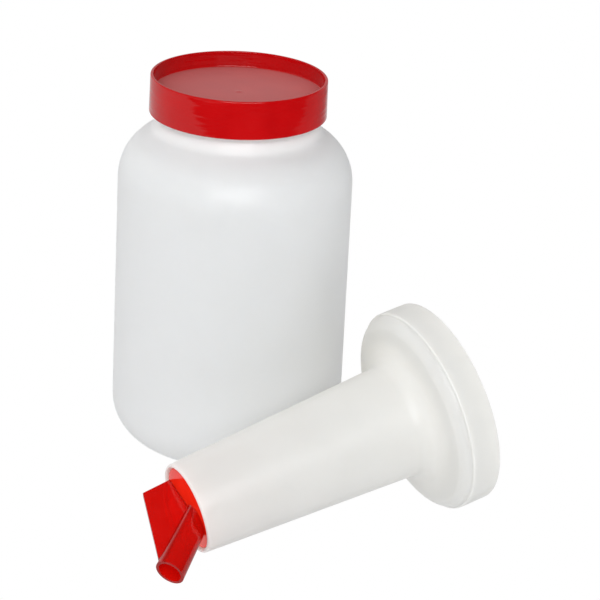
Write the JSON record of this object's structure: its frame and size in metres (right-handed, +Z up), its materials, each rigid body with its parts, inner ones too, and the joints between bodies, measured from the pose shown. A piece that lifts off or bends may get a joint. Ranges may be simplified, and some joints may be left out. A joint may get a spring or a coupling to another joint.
{
  "type": "store and pour drinks container",
  "caption": "Wide-mouth milky plastic jar with a red screw lid, and its pouring neck with a clear red slanted spout lying beside it.",
  "frame": {"origin": "centre of the jar's base, on the surface that it stands on", "axes": "+Z up along the jar's axis; the neck lies on the -Y side with its axis in an X-Z plane, and its collar points to +X"},
  "size_m": [0.1905, 0.2347, 0.2113],
  "materials": {
    "milky_polyethylene": "satin",
    "red_polypropylene": "satin",
    "clear_red_plastic": "clear gloss",
    "liner_foam": "foamed, matt",
    "seal_rubber": "matt"
  },
  "bodies": {
    "jar_body": {"jar": "milky_polyethylene"},
    "liner_body": {"lid_liner": "liner_foam"},
    "lid_body": {"lid": "red_polypropylene"},
    "neck_body": {"neck": "milky_polyethylene", "neck_gasket": "seal_rubber"},
    "seal_body": {"spout_seal": "seal_rubber"},
    "spout_body": {"spout": "clear_red_plastic"}
  },
  "joints": [
    {"name": "lid_rise", "type": "slide", "parent": "jar_body", "child": "liner_body", "axis": [0, 0, 1], "range_m": [0, 0.0101]},
    {"name": "lid_turn", "type": "hinge", "parent": "liner_body", "child": "lid_body", "pos_m": [0, 0, 0.2], "axis": [0, 0, 1], "range_deg": [0, 720]},
    {"name": "neck_lift", "type": "slide", "parent": "jar_body", "child": "neck_body", "axis": [0, 0, 1], "range_m": [0, 0.12]},
    {"name": "spout_pull", "type": "slide", "parent": "neck_body", "child": "seal_body", "axis": [-0.9757, 0, -0.219], "range_m": [0, 0.014]},
    {"name": "spout_turn", "type": "hinge", "parent": "seal_body", "child": "spout_body", "pos_m": [-0.0811, -0.1151, 0.02334], "axis": [-0.9757, 0, -0.219], "range_deg": [0, 180]}
  ],
  "couplings": [
    {"joint": "lid_rise", "follows": "lid_turn", "m_per_rad": 0.00079577}
  ]
}
